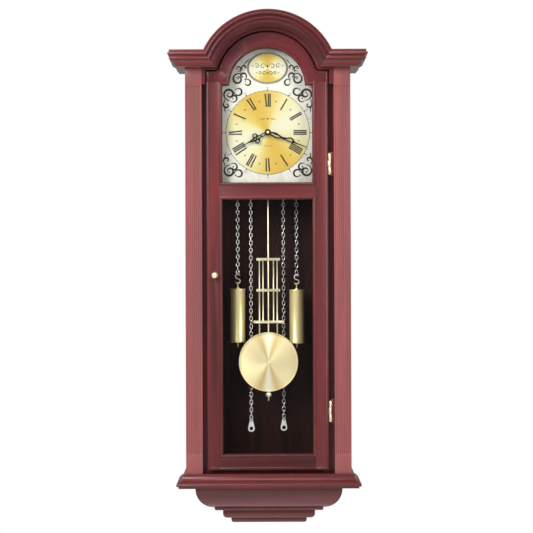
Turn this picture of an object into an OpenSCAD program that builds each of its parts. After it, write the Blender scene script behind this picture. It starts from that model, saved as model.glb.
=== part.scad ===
// Wall-hung pendulum clock: arched case and door, dial with serpentine hands, lyre pendulum,
// two weights on chains and two pull chains. Lengths are in millimetres.
// Heights are measured up from the lowest moulding; the hanger hole is the origin.
// The wall is the plane y = 0 and the front faces -Y.

/* [Case] */
// Height of the hanger hole above the lowest moulding
hanger_h = 900; // [880:1:910]
// Width of the case across its side panels
case_w = 309; // [305:1:315]
// Depth from the wall to the front of the side panels
case_d = 100; // [98:1:104]
// Thickness of the side panels
panel_t = 12; // [9:1:14]
// Thickness of the back panel
back_t = 5; // [3:1:6]

/* [Crown] */
// Height of the centre of the arch
arch_h = 834; // [830:1:838]
// Radius of the inner edge of the crown moulding over the arch
crown_r = 101.5; // [100:0.5:103]
// Height of the underside of the crown moulding
crown_h = 861; // [859:1:863]

/* [Door] */
// Width of the door
door_w = 227; // [225:1:229]
// Height of the bottom edge of the door
door_bottom_h = 108.8; // [106:0.2:110]
// Height of the door's square shoulders
shoulder_h = 854.7; // [853:0.1:855]
// Outer radius of the door's arch
door_r = 94; // [92:0.5:95]
// Width of the stiles and the half width of the openings they leave
stile_w = 28.5; // [26:0.5:30]

/* [Dial] */
// Height of the centre of the dial
dial_h = 741.4; // [738:0.2:745]
// Length of the minute hand from its centre
minute_len = 79; // [74:1:82]
// Length of the hour hand from its centre
hour_len = 54; // [48:1:58]

/* [Pendulum] */
// Height of the centre of the bob
bob_h = 309; // [300:1:320]
// Radius of the bob
bob_r = 56.2; // [50:0.2:60]
// Radius of the centre rod
rod_r = 1.4; // [1.2:0.1:1.6]

/* [Weights and chains] */
// Radius of the weights
weight_r = 13.9; // [12:0.1:15]
// Length of the weights' shells
weight_len = 102; // [90:1:110]
// Radius of the tube that a chain fills
chain_r = 1.9; // [1.5:0.1:2.2]

/* [Hidden] */
$fn = 64;
case_x = case_w / 2;
inside_x = case_x - panel_t - 0.1;
case_bottom_h = 102;
case_top_h = 880;
roof_t = 8;
pilaster_w = 31;
pilaster_x = case_x - pilaster_w;
pilaster_y = -case_d - 16;
stop_y = -case_d + 12;
stop_x = 104;
back_y = -1.6;
roof_r = 126;
crown_rise = 31;
mitre_low_x = sqrt(pow(crown_r, 2) - pow(crown_h - arch_h, 2));
mitre_high_x = sqrt(pow(crown_r + crown_rise, 2) - pow(crown_h + crown_rise - arch_h, 2));

door_shift = -1;
door_x = door_w / 2;
door_back_y = -case_d - 0.4;
door_field_t = 13;
edge_bead_r = 3;
inner_bead_r = 2.4;
bead_front = door_field_t + 2;
bead_inset = 0.15;
opening_x = door_x - stile_w;
fillet_r = 9;
fillet_h = shoulder_h + fillet_r;
fillet_x = sqrt(pow(door_r + fillet_r, 2) - pow(fillet_h - arch_h, 2));
fillet_a = atan2(fillet_h - arch_h, fillet_x);
low_open_h = 137.7;
rail_low_h = 615.4;
rail_top_h = 646;
ledge_h = 829;
dial_arch_h = 827;
dial_arch_r = 71.7;
rabbet = 5;
rabbet_t = 5.6;
glass_t = 2.4;

hinge_x = door_shift + door_x + 2.7;
hinge_y = door_back_y - bead_front;
hinge_heights = [662, 200];
hinge_len = 37;
knuckle_r = 2.2;
hinge_pin_r = 0.95;
leaf_t = 1.2;
lip_x = hinge_x + 2.4;
knob_x = -100.3;
knob_h = 473;

plate_y = stop_y + 1.6;
housing_y = -52;
tube_r = 2.5;
arbor_r = 1.5;
pend_y = -72;
pend_pivot_h = 684;
bar_heights = [503, 444.5, 384.5];
nut_h = 244;

chain_y = -48;
chain_pivot_h = 621;
left_weight_x = -58;
right_weight_x = 54;
left_pull_x = -33;
right_pull_x = 29;
left_weight_h = 345;
right_weight_h = 343;
left_tag_h = 195.6;
right_tag_h = 197.4;
tag_r = 6.3;

mahogany = [0.36, 0.09, 0.08];
dark_wood = [0.16, 0.07, 0.05];
brass = [0.84, 0.70, 0.38];
steel = [0.72, 0.72, 0.72];
black = [0.08, 0.08, 0.08];

// ---- Placing ----

// Lifts a child that is drawn at its height above the lowest moulding.
module lift(h = 0) {
    translate([0, 0, h - hanger_h]) children();
}

// A block between two corners, with its heights last.
module block(x0, x1, y0, y1, h0, h1) {
    translate([x0, y0, h0 - hanger_h]) cube([x1 - x0, y1 - y0, h1 - h0]);
}

// An outline drawn in x and height, made t thick forwards from y_back.
module board(y_back, t) {
    translate([0, y_back, -hanger_h]) rotate([90, 0, 0]) linear_extrude(t) children();
}

// A section drawn as [rise, projection], run along +X, projecting to the front.
module along_x(len) {
    rotate([0, -90, 180]) linear_extrude(len) children();
}

module upright(x, y, h0, h1, r) {
    translate([x, y, h0 - hanger_h]) cylinder(h = h1 - h0, r = r);
}

// A round bar along Y, from y0 towards the wall to y1.
module bar_y(x, h, y0, y1, r) {
    translate([x, y0, h - hanger_h]) rotate([-90, 0, 0]) cylinder(h = y1 - y0, r = r);
}

module bar_x(x0, x1, y, h, r) {
    translate([x0, y, h - hanger_h]) rotate([0, 90, 0]) cylinder(h = x1 - x0, r = r);
}

// A ring of wire facing the front; turn it by 90 to face the side.
module wire_ring(x, y, h, ring_r, wire_r, turn = 0) {
    translate([x, y, h - hanger_h]) rotate([0, 0, turn]) rotate([90, 0, 0])
        rotate_extrude() translate([ring_r, 0]) circle(r = wire_r);
}

// A slab whose front and two side edges carry the section given as the child, mitred at the corners.
module moulded_slab(rise, half_w, depth, reach) {
    intersection() {
        translate([-half_w - reach, 0, 0]) along_x(2 * (half_w + reach)) {
            square([rise, depth]);
            translate([0, depth]) children();
        }
        translate([0, -depth - reach, 0]) rotate([0, 0, 90]) along_x(depth + reach) {
            for (side = [0, 1]) mirror([0, side]) {
                square([rise, half_w]);
                translate([0, half_w]) children();
            }
        }
    }
}

// ---- Sections of the mouldings, as [rise, projection] ----

module crown_section() {
    difference() {
        union() {
            square([3, 15.5]);
            square([5.5, 18]);
            translate([5.5, 0]) square([6.5, 25]);
            translate([12, 0]) square([1.5, 25]);
            translate([13.5, 0]) square([4, 26.5]);
            translate([15.5, 26.5]) circle(r = 2);
            translate([17.5, 0]) square([3.5, 25.5]);
            translate([21, 0]) square([5.5, 28.6]);
            translate([23.75, 28.6]) circle(r = 2.75);
            translate([26.5, 0]) square([1, 27.6]);
            translate([27.5, 0]) square([3.5, 28.5]);
        }
        translate([5.5, 26.5]) circle(r = 6.8);
        translate([-0.1, 15.5]) square([3.1, 10]);
    }
}

module base_section() {
    difference() {
        union() {
            square([3, 13.5]);
            translate([3, 0]) square([7.5, 14.4]);
            translate([6.8, 14.4]) circle(r = 3.6);
            translate([10.5, 0]) square([2.5, 13.5]);
            translate([13, 0]) square([10, 14]);
            translate([23, 0]) square([3, 5.2]);
        }
        translate([23, 15]) circle(r = 10);
    }
}

module apron_section(r) {
    intersection() {
        translate([r, 0]) circle(r = r);
        square([r, r]);
    }
    translate([r, 0]) square([43 - r, r]);
}

// A quarter-round edge that curves in towards the bottom, below a straight band.
module drop_section(rise, r) {
    intersection() {
        translate([r, 0]) circle(r = r);
        square([r, r]);
    }
    translate([r, 0]) square([rise - r, r]);
}

// ---- Case ----

module side_panel() {
    color(mahogany) block(case_x - panel_t, case_x, -case_d, 0, case_bottom_h, case_top_h);
}

module left_side_panel() {
    mirror([1, 0, 0]) side_panel();
}

module right_side_panel() {
    side_panel();
}

module back_panel() {
    color(dark_wood) board(back_y, back_t) difference() {
        union() {
            translate([-inside_x, case_bottom_h + 0.1]) square([2 * inside_x, case_top_h - case_bottom_h - 0.1]);
            translate([0, arch_h]) circle(r = roof_r - roof_t);
        }
        translate([-70, 668]) square([140, 132]);
        translate([0, hanger_h]) circle(r = 11);
    }
}

// The floor of the case, with the strip that the foot of the door closes against.
module bottom_board() {
    color(mahogany) {
        block(-case_x, case_x, pilaster_y, 0, 76, case_bottom_h);
        block(-stop_x, stop_x, -case_d, stop_y, case_bottom_h, 124);
    }
}

module roof_board() {
    color(mahogany) board(0, case_d) difference() {
        union() {
            intersection() {
                translate([0, arch_h]) circle(r = roof_r);
                translate([-roof_r, case_top_h]) square([2 * roof_r, roof_r]);
            }
            translate([-case_x, case_top_h]) square([case_w, roof_t]);
        }
        translate([0, arch_h]) circle(r = roof_r - roof_t + 0.1);
    }
}

// Outline of the door in x and height, grown all round for the opening that it closes.
// A short arc of chords blends each square shoulder into the arch.
module door_outline(grow = 0) {
    edge_x = door_x + grow;
    bottom = door_bottom_h - grow;
    blend_r = fillet_r - grow;
    translate([-edge_x, bottom]) square([2 * edge_x, shoulder_h + grow - bottom]);
    intersection() {
        translate([0, arch_h]) circle(r = door_r + grow);
        translate([-door_r - grow, arch_h]) square([2 * (door_r + grow), door_r + grow + 1]);
    }
    blend = [for (i = [0:7]) let (a = 188 + fillet_a + (82 - fillet_a) * i / 7)
        [fillet_x + blend_r * cos(a), fillet_h + blend_r * sin(a)]];
    polygon(concat(
        blend,
        [[fillet_x, shoulder_h - 10], [-fillet_x, shoulder_h - 10]],
        [for (i = [7:-1:0]) [-blend[i][0], blend[i][1]]]
    ));
}

module pediment_board() {
    color(mahogany) difference() {
        union() {
            board(-case_d, 16) {
                translate([-pilaster_x + 0.1, 830]) square([2 * pilaster_x - 0.2, crown_h - 830]);
                translate([-case_x, crown_h]) square([case_w, case_top_h + roof_t - crown_h]);
                intersection() {
                    translate([0, arch_h]) circle(r = roof_r);
                    translate([-roof_r, case_top_h]) square([2 * roof_r, roof_r]);
                }
            }
            board(stop_y, 12) difference() {
                union() {
                    translate([-inside_x, dial_arch_h]) square([2 * inside_x, case_top_h - dial_arch_h]);
                    translate([0, arch_h]) circle(r = roof_r - roof_t);
                }
                translate([-inside_x, 0]) square([2 * inside_x, dial_arch_h]);
            }
        }
        board(-case_d, 40) translate([door_shift, 0]) door_outline(2);
        board(0, 200) translate([door_shift, dial_arch_h]) circle(r = 84);
    }
}

module face_stile() {
    color(mahogany) block(stop_x, inside_x, -case_d, stop_y, case_bottom_h, dial_arch_h);
}

module left_face_stile() {
    mirror([1, 0, 0]) face_stile();
}

// The right stile also carries the lip that the hinges are screwed to.
module right_face_stile() {
    face_stile();
    color(mahogany) for (h = hinge_heights)
        block(lip_x, pilaster_x - 0.1, -case_d - 13, -case_d, h - 4, h + hinge_len + 4);
}

module pilaster() {
    flute_r = 2.45;
    flute_low = 138;
    flute_high = 827;
    color(mahogany) difference() {
        block(pilaster_x, case_x, pilaster_y, -case_d, case_bottom_h, crown_h);
        for (i = [-1.5:1:1.5]) translate([pilaster_x + pilaster_w / 2 + 7.2 * i, pilaster_y - 0.6, 0]) {
            upright(0, 0, flute_low + flute_r, flute_high - flute_r, flute_r);
            lift(flute_low + flute_r) sphere(r = flute_r);
            lift(flute_high - flute_r) sphere(r = flute_r);
        }
    }
}

module left_pilaster() {
    mirror([1, 0, 0]) pilaster();
}

module right_pilaster() {
    pilaster();
}

// Everything outside the mitre between the level crown and its arch, seen from the front.
module beyond_mitre() {
    reach = 60;
    slope = (mitre_high_x - mitre_low_x) / crown_rise;
    polygon([
        [mitre_low_x - slope * reach, crown_h - reach],
        [400, crown_h - reach],
        [400, crown_h + crown_rise + reach],
        [mitre_high_x + slope * reach, crown_h + crown_rise + reach]
    ]);
}

module right_crown() {
    color(mahogany) difference() {
        intersection() {
            lift(crown_h) moulded_slab(crown_rise, case_x, -pilaster_y, 40) crown_section();
            board(1, 200) beyond_mitre();
        }
        block(-case_x, case_x, pilaster_y, 1, crown_h - 1, crown_h + crown_rise + 1);
    }
}

module right_crown_moulding() {
    right_crown();
}

module left_crown_moulding() {
    mirror([1, 0, 0]) right_crown();
}

module crown_arch_moulding() {
    color(mahogany) difference() {
        translate([0, pilaster_y, arch_h - hanger_h]) rotate([90, 0, 0]) rotate_extrude(angle = 180)
            translate([crown_r, 0]) crown_section();
        for (side = [0, 1]) mirror([side, 0, 0]) board(0, 200) beyond_mitre();
        block(-200, 200, -200, 0, crown_h - 60, crown_h - 0.1);
    }
}

module base_moulding() {
    color(mahogany) difference() {
        lift(76) moulded_slab(26, case_x, -pilaster_y, 20) base_section();
        block(-case_x, case_x, pilaster_y, 1, 70, 110);
    }
}

module apron() {
    color(mahogany) lift(33) moulded_slab(43, 99, 58, 39) apron_section(39);
}

module upper_drop_moulding() {
    color(mahogany) lift(27) moulded_slab(6, 99, 59, 4) drop_section(6, 4);
}

module middle_drop_moulding() {
    color(mahogany) lift(10) moulded_slab(17, 78, 37.5, 9.5) drop_section(17, 9.5);
}

module lower_drop_moulding() {
    color(mahogany) lift(0) moulded_slab(10, 66, 25, 6) drop_section(10, 6);
}

// ---- Hanging and back ----

hanger_screw_places = [[-16, -11], [16, -11], [-16, 11], [16, 11]];

module hanger_plate() {
    color(steel) difference() {
        board(0, 1.6) difference() {
            translate([-22, hanger_h - 16]) square([44, 32]);
            translate([0, hanger_h]) circle(r = 4.5);
            translate([-2.1, hanger_h]) square([4.2, 10]);
            translate([0, hanger_h + 10]) circle(r = 2.1);
            for (p = hanger_screw_places) translate([p[0], hanger_h + p[1]]) circle(r = 1.6);
        }
        for (p = hanger_screw_places) bar_y(p[0], hanger_h + p[1], -1.1, 1, 2.6);
    }
}

// Screws of the hanger plate, the hinges' case leaves and the dial plate.
module case_screws() {
    color(steel) {
        for (p = hanger_screw_places) {
            bar_y(p[0], hanger_h + p[1], -6, -1, 1.5);
            bar_y(p[0], hanger_h + p[1], -1, -0.2, 2.5);
        }
        for (h = hinge_heights) for (i = [-1, 1]) {
            bar_x(lip_x - leaf_t - 0.7, lip_x - leaf_t, hinge_y + 8, h + hinge_len / 2 + 13 * i, 2);
            bar_x(lip_x - leaf_t, lip_x + 4, hinge_y + 8, h + hinge_len / 2 + 13 * i, 1);
        }
        for (side = [-1, 1]) for (h = [650, 735, 818]) {
            bar_y(side * 107.5, h, plate_y, plate_y + 0.9, 2.6);
            bar_y(side * 107.5, h, plate_y - 8, plate_y, 1.1);
        }
    }
}

module wall_bumpers() {
    color(black) for (side = [-1, 1]) bar_y(side * 120, 135, back_y, 0, 8);
}

// ---- Door ----

// Round beads that stand proud of the door's flat field.
module bead_level(x0, x1, h, r) {
    bar_x(x0, x1, -bead_front + r, h, r);
}

module bead_upright(x, h0, h1, r) {
    upright(x, -bead_front + r, h0, h1, r);
}

module bead_corner(x, h, r) {
    translate([x, -bead_front + r, h - hanger_h]) sphere(r = r);
}

module bead_arc(x, h, arc_r, r, from, sweep) {
    translate([x, -bead_front + r, h - hanger_h]) rotate([90, 0, 0]) rotate([0, 0, from])
        rotate_extrude(angle = sweep) translate([arc_r, 0]) circle(r = r);
}

// The upright beads along both edges of the right stile.
module stile_beads() {
    edge = door_x - edge_bead_r - bead_inset;
    inner = opening_x + inner_bead_r + bead_inset;
    foot_h = door_bottom_h + edge_bead_r + bead_inset;
    bead_upright(edge, foot_h, shoulder_h - edge_bead_r, edge_bead_r);
    bead_corner(edge, foot_h, edge_bead_r);
    bead_level(opening_x, edge, foot_h, edge_bead_r);
    bead_upright(inner, low_open_h - 6, rail_low_h + 6, inner_bead_r);
    bead_upright(inner, rail_top_h - 6, ledge_h + 6, inner_bead_r);
}

module arch_beads() {
    edge = door_x - edge_bead_r - bead_inset;
    top_h = shoulder_h - edge_bead_r - bead_inset;
    ledge_bead_h = ledge_h + inner_bead_r + bead_inset;
    arc_r = dial_arch_r + inner_bead_r + bead_inset;
    for (side = [0, 1]) mirror([side, 0, 0]) {
        bead_upright(edge, ledge_h - 6, top_h, edge_bead_r);
        bead_corner(edge, top_h, edge_bead_r);
        bead_level(fillet_x, edge, top_h, edge_bead_r);
        bead_level(arc_r, opening_x + 6, ledge_bead_h, inner_bead_r);
        bead_corner(arc_r, ledge_bead_h, inner_bead_r);
        bead_upright(opening_x + inner_bead_r + bead_inset, ledge_h - 6, ledge_h + 6, inner_bead_r);
    }
    bead_arc(0, arch_h, door_r - edge_bead_r - bead_inset, edge_bead_r, fillet_a, 180 - 2 * fillet_a);
    bead_arc(0, dial_arch_h, arc_r, inner_bead_r, 3, 174);
}

// The openings and the rabbets behind them that hold the two panes.
module door_openings() {
    board(5, 30) {
        translate([-opening_x, low_open_h]) square([2 * opening_x, rail_low_h - low_open_h]);
        translate([-opening_x, rail_top_h]) square([2 * opening_x, ledge_h - rail_top_h]);
        translate([0, dial_arch_h]) circle(r = dial_arch_r);
    }
    board(5, 5 + rabbet_t) {
        pane_low(rabbet);
        pane_dial(rabbet);
    }
}

module pane_low(grow) {
    translate([-opening_x - grow, low_open_h - grow])
        square([2 * (opening_x + grow), rail_low_h - low_open_h + 2 * grow]);
}

module pane_dial(grow) {
    translate([-opening_x - grow, rail_top_h - grow])
        square([2 * (opening_x + grow), ledge_h - rail_top_h + 2 * grow]);
    translate([0, dial_arch_h]) circle(r = dial_arch_r + grow);
}

// Puts door pieces, drawn with their backs at y = 0, in their place.
module on_door() {
    translate([door_shift, door_back_y, 0]) children();
}

// One rail or stile: the first child is its mitred outline, the second its beads.
module door_piece() {
    color(mahogany) on_door() difference() {
        union() {
            board(0, door_field_t) intersection() {
                door_outline();
                children(0);
            }
            intersection() {
                board(0, bead_front + 1) children(0);
                children(1);
            }
        }
        door_openings();
    }
}

// The mitre of the inner beads makes the corners of these outlines.
module right_stile_outline() {
    k = 2 * inner_bead_r;
    in_x = opening_x + k;
    polygon([
        [in_x, 50], [door_x + 5, 50], [door_x + 5, ledge_h + k], [in_x, ledge_h + k],
        [opening_x, ledge_h], [opening_x, rail_top_h], [in_x, rail_top_h - k],
        [in_x, rail_low_h + k], [opening_x, rail_low_h], [opening_x, low_open_h], [in_x, low_open_h - k]
    ]);
}

module right_stile() {
    door_piece() {
        right_stile_outline();
        stile_beads();
    }
}

module door_right_stile() {
    right_stile();
}

module door_left_stile() {
    color(mahogany) difference() {
        translate([2 * door_shift, 0, 0]) mirror([1, 0, 0]) right_stile();
        bar_y(knob_x, knob_h, -130, -90, 2.1);
    }
}

module door_arch_rail() {
    k = 2 * inner_bead_r;
    door_piece() {
        polygon([
            [-opening_x - k, ledge_h + k], [-opening_x, ledge_h], [opening_x, ledge_h],
            [opening_x + k, ledge_h + k], [door_x + 5, ledge_h + k], [door_x + 5, 1000],
            [-door_x - 5, 1000], [-door_x - 5, ledge_h + k]
        ]);
        arch_beads();
    }
}

module door_mid_rail() {
    k = 2 * inner_bead_r;
    far_x = opening_x + k;
    door_piece() {
        polygon([
            [-opening_x, rail_low_h], [opening_x, rail_low_h], [far_x, rail_low_h + k],
            [far_x, rail_top_h - k], [opening_x, rail_top_h], [-opening_x, rail_top_h],
            [-far_x, rail_top_h - k], [-far_x, rail_low_h + k]
        ]);
        for (h = [rail_low_h + inner_bead_r + bead_inset, rail_top_h - inner_bead_r - bead_inset])
            bead_level(-far_x, far_x, h, inner_bead_r);
    }
}

module door_bottom_rail() {
    k = 2 * inner_bead_r;
    far_x = opening_x + k;
    door_piece() {
        polygon([
            [-far_x, 50], [far_x, 50], [far_x, low_open_h - k],
            [opening_x, low_open_h], [-opening_x, low_open_h], [-far_x, low_open_h - k]
        ]);
        union() {
            bead_level(-far_x, far_x, low_open_h - inner_bead_r - bead_inset, inner_bead_r);
            bead_level(-far_x, far_x, door_bottom_h + edge_bead_r + bead_inset, edge_bead_r);
        }
    }
}

module dial_glass() {
    color([0.8, 0.9, 0.9, 0.3]) on_door() board(-rabbet_t + glass_t + 0.1, glass_t) pane_dial(rabbet - 0.5);
}

module door_glass() {
    color([0.8, 0.9, 0.9, 0.3]) on_door() board(-rabbet_t + glass_t + 0.1, glass_t) pane_low(rabbet - 0.5);
}

// Thin strips behind the panes, with mitred corners at the straight openings.
module glass_retainers() {
    strip_t = 2.6;
    strip_y = -rabbet_t + glass_t + 0.2 + strip_t;
    out = rabbet - 0.3;
    color(mahogany) on_door() board(strip_y, strip_t) {
        difference() {
            pane_low(out);
            pane_low(-1);
        }
        difference() {
            pane_dial(out);
            pane_dial(-1);
        }
    }
}

module door_knob() {
    face_y = door_back_y - door_field_t;
    color(brass) difference() {
        translate([knob_x, face_y, knob_h - hanger_h]) rotate([90, 0, 0]) rotate_extrude() difference() {
            union() {
                square([6.2, 1.4]);
                square([3, 9]);
                translate([0, 11]) intersection() {
                    circle(r = 6.2);
                    translate([0, -3.4]) square([7, 9.6]);
                }
            }
            translate([-10, -10]) square([10, 40]);
        }
        bar_y(knob_x, knob_h, face_y - 9, face_y + 1, 1.9);
    }
}

// The knob's screw and the screws of the hinges' door leaves.
module door_screws() {
    color(steel) {
        bar_y(knob_x, knob_h, door_back_y - 19, door_back_y, 1.8);
        bar_y(knob_x, knob_h, door_back_y, door_back_y + 0.25, 3);
        for (h = hinge_heights) for (i = [-1, 1]) {
            bar_x(hinge_x - 2.7 - 6, hinge_x - 2.7 + leaf_t, hinge_y + 8, h + hinge_len / 2 + 13 * i, 1);
            bar_x(hinge_x - 2.7 + leaf_t, hinge_x - 2.2 + leaf_t, hinge_y + 8, h + hinge_len / 2 + 13 * i, 2);
        }
    }
}

module strike_plate() {
    color(steel) block(-103, -93, door_back_y, door_back_y + 1, knob_h + 25, knob_h + 55);
}

module magnet_catch() {
    color(black) block(-stop_x, -93, door_back_y + 1.8, stop_y, knob_h + 22, knob_h + 58);
}

// Knuckles of a hinge: the case holds the outer two, the door the middle one.
module knuckle(h, first, last) {
    third = hinge_len / 3;
    upright(hinge_x, hinge_y, h + third * first + 0.15, h + third * last - 0.15, knuckle_r);
}

module door_hinge_leaves() {
    leaf_x = hinge_x - 2.7;
    third = hinge_len / 3;
    color(brass) difference() {
        for (h = hinge_heights) {
            knuckle(h, 1, 2);
            block(leaf_x, leaf_x + leaf_t, hinge_y + 3, hinge_y + 14, h, h + hinge_len);
            block(leaf_x, leaf_x + leaf_t, hinge_y + 0.6, hinge_y + 3, h + third + 0.15, h + 2 * third - 0.15);
        }
        for (h = hinge_heights) {
            upright(hinge_x, hinge_y, h - 1, h + hinge_len + 1, hinge_pin_r + 0.05);
            for (i = [-1, 1]) bar_x(leaf_x - 1, leaf_x + 3, hinge_y + 8, h + hinge_len / 2 + 13 * i, 1.1);
        }
    }
}

module case_hinge_leaves() {
    leaf_x = lip_x - leaf_t;
    third = hinge_len / 3;
    color(brass) difference() {
        for (h = hinge_heights) {
            block(leaf_x, leaf_x + leaf_t, hinge_y + 3, hinge_y + 14, h, h + hinge_len);
            for (i = [0, 2]) {
                knuckle(h, i, i + 1);
                block(leaf_x, leaf_x + leaf_t, hinge_y, hinge_y + 3, h + third * i + 0.15, h + third * (i + 1) - 0.15);
            }
        }
        for (h = hinge_heights) {
            upright(hinge_x, hinge_y, h - 1, h + hinge_len + 1, hinge_pin_r + 0.05);
            for (i = [-1, 1]) bar_x(leaf_x - 2, leaf_x + 3, hinge_y + 8, h + hinge_len / 2 + 13 * i, 1.1);
        }
    }
}

module hinge_pins() {
    color(brass) for (h = hinge_heights) {
        upright(hinge_x, hinge_y, h, h + hinge_len, hinge_pin_r);
        upright(hinge_x, hinge_y, h + hinge_len, h + hinge_len + 1.2, 1.8);
        upright(hinge_x, hinge_y, h - 1.2, h, 1.8);
    }
}

// ---- Dial, hands and movement ----

module dial_plate() {
    color([0.93, 0.90, 0.80]) board(plate_y, 1.5) difference() {
        union() {
            translate([-112, 633]) square([224, 199]);
            translate([0, dial_arch_h]) circle(r = 90);
        }
        translate([0, dial_h]) circle(r = 4.2);
        translate([-112, 500]) square([224, 133]);
    }
}

module movement_housing() {
    front_y = plate_y + 0.1;
    color(black) difference() {
        union() {
            block(-66, 66, front_y, housing_y, 694, 790);
            bar_y(0, dial_h, front_y - 5.5, front_y, 4);
            for (y = [pend_y - 6.5, pend_y + 3.5]) block(-5, 5, y, y + 3, pend_pivot_h - 5, 694);
            bar_y(0, pend_pivot_h, pend_y - 5, pend_y + 5, 1.2);
        }
        bar_y(0, dial_h, front_y - 6, housing_y - 6, tube_r + 0.06);
        bar_y(0, dial_h, housing_y - 10, housing_y + 1, arbor_r + 0.06);
        block(6, 62, housing_y - 17, housing_y + 1, 699, 733);
        block(-46, -24, housing_y - 4, housing_y + 1, 706, 712);
    }
}

module shaft_nut() {
    color(brass) difference() {
        bar_y(0, dial_h, plate_y - 4, plate_y - 1.6, 7, $fn = 6);
        bar_y(0, dial_h, plate_y - 5, plate_y, 4.1);
    }
}

// A flat ring in the plane of a hand.
module scroll(x, y, r, w) {
    translate([x, y]) difference() {
        circle(r = r);
        circle(r = r - w);
    }
}

// Pierced serpentine blade along +Y of its own plane: neck, scrolls in pairs, waist and long tip.
module minute_outline(len) {
    circle(r = 5.2);
    polygon([[-1.1, 3], [1.1, 3], [0.8, 0.62 * len], [-0.8, 0.62 * len]]);
    for (side = [-1, 1]) {
        scroll(side * 2.2, 0.16 * len, 2.9, 1.2);
        scroll(side * 3, 0.35 * len, 3.9, 1.5);
        scroll(side * 2.2, 0.45 * len, 2.9, 1.2);
    }
    scroll(0, 0.26 * len, 3.2, 1.3);
    scroll(0, 0.55 * len, 3.6, 1.4);
    polygon([[-1.4, 0.6 * len], [1.4, 0.6 * len], [2, 0.66 * len], [0.5, 0.72 * len], [0.3, len], [-0.3, len],
        [-0.5, 0.72 * len], [-2, 0.66 * len]]);
}

module hour_outline(len) {
    circle(r = 6);
    polygon([[-1.2, 3], [1.2, 3], [0.8, 0.66 * len], [-0.8, 0.66 * len]]);
    for (side = [-1, 1]) {
        scroll(side * 3.2, 0.22 * len, 3.6, 1.5);
        scroll(side * 5.2, 0.5 * len, 4.6, 1.8);
        scroll(side * 2.6, 0.62 * len, 3.2, 1.4);
    }
    scroll(0, 0.36 * len, 3.4, 1.4);
    polygon([[-1.6, 0.62 * len], [1.6, 0.62 * len], [2.4, 0.7 * len], [0.7, 0.78 * len], [0.5, len], [-0.5, len],
        [-0.7, 0.78 * len], [-2.4, 0.7 * len]]);
}

// Turns a hand to its clock angle, measured clockwise from twelve as seen from the front.
module hand(y_back, t, clock_angle) {
    translate([0, y_back, dial_h - hanger_h]) rotate([0, clock_angle, 0]) rotate([90, 0, 0])
        linear_extrude(t) children();
}

module hour_hand() {
    color(black) difference() {
        union() {
            hand(-92.4, 1, 242) hour_outline(hour_len);
            bar_y(0, dial_h, -92.6, plate_y + 12, tube_r);
        }
        bar_y(0, dial_h, -100, plate_y + 13, arbor_r + 0.06);
    }
}

module minute_hand() {
    color(black) {
        hand(-94.6, 1, 111) minute_outline(minute_len);
        bar_y(0, dial_h, -95, housing_y + 0.4, arbor_r);
    }
}

module hand_nut() {
    color(brass) translate([0, -95.6, dial_h - hanger_h]) rotate([90, 0, 0]) intersection() {
        cylinder(h = 3, r = 3.6);
        translate([0, 0, -2]) sphere(r = 4.6);
    }
}

module time_set_knob() {
    color([0.75, 0.1, 0.1]) difference() {
        bar_y(0, dial_h, housing_y + 0.5, housing_y + 9, 9);
        for (a = [0:15:345]) translate([9.3 * cos(a), 0, 9.3 * sin(a)])
            bar_y(0, dial_h, housing_y + 2, housing_y + 10, 0.8);
    }
}

module battery_cover() {
    color([0.13, 0.13, 0.13]) {
        block(6.3, 61.7, housing_y - 1.6, housing_y - 0.1, 699.3, 732.7);
        for (i = [0:4]) block(24, 44, housing_y - 0.1, housing_y + 0.6, 703 + 2.4 * i, 704.2 + 2.4 * i);
    }
}

module batteries() {
    color([0.2, 0.3, 0.5]) for (h = [707.6, 724.4]) {
        bar_x(8, 57, housing_y - 9.4, h, 7.1);
        bar_x(57, 58.2, housing_y - 9.4, h, 2.7);
    }
}

module speaker() {
    color([0.2, 0.2, 0.2]) difference() {
        bar_y(-38, 757, housing_y + 0.1, housing_y + 10, 24);
        bar_y(-38, 757, housing_y + 7, housing_y + 11, 20);
    }
    color([0.3, 0.3, 0.3]) bar_y(-38, 757, housing_y + 6.8, housing_y + 9, 8);
}

module chime_switch() {
    color([0.8, 0.8, 0.8]) {
        block(-42, -36, housing_y - 3.7, housing_y - 0.6, 706.3, 711.7);
        block(-40.5, -37.5, housing_y - 0.6, housing_y + 2.5, 706.8, 711.2);
    }
}

// ---- Chains and weights ----

hook_wire_r = 1;

// The rail across the case with one staple for each chain.
module chain_rail() {
    color(dark_wood) block(-inside_x, inside_x, chain_y - 7, chain_y + 7, 634, 648);
    color(brass) for (x = [left_weight_x, left_pull_x, right_pull_x, right_weight_x]) {
        bar_y(x, chain_pivot_h, chain_y - 4.4, chain_y + 4.4, hook_wire_r);
        for (side = [-1, 1]) upright(x, chain_y + 3.4 * side, chain_pivot_h, 634.5, 0.85 * hook_wire_r);
    }
}

// A hanging chain with a ring at each end; the lower ring's wire passes below low_h.
module chain(x, low_h) {
    color(steel) {
        wire_ring(x, chain_y, chain_pivot_h - 0.9, 2.6, 0.65);
        upright(x, chain_y, low_h + 4.6, chain_pivot_h - 3.5, chain_r);
        wire_ring(x, chain_y, low_h + 2.5, 2.5, 0.65, 90);
    }
}

// An S-shaped hook whose lower curve is centred at the given height; a short collar joins its two curves.
module s_hook(x, h) {
    bend_r = 4.45;
    wire_r = 0.9;
    color(steel) translate([x, chain_y, h - hanger_h]) rotate([90, 0, 0]) {
        rotate([0, 0, 200]) rotate_extrude(angle = 246) translate([bend_r, 0]) circle(r = wire_r);
        translate([0, 2 * bend_r]) rotate([0, 0, 24]) rotate_extrude(angle = 242)
            translate([bend_r, 0]) circle(r = wire_r);
        translate([-0.8, bend_r]) rotate([0, 90, 0]) cylinder(h = 1.6, r = 1.08);
    }
}

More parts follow.
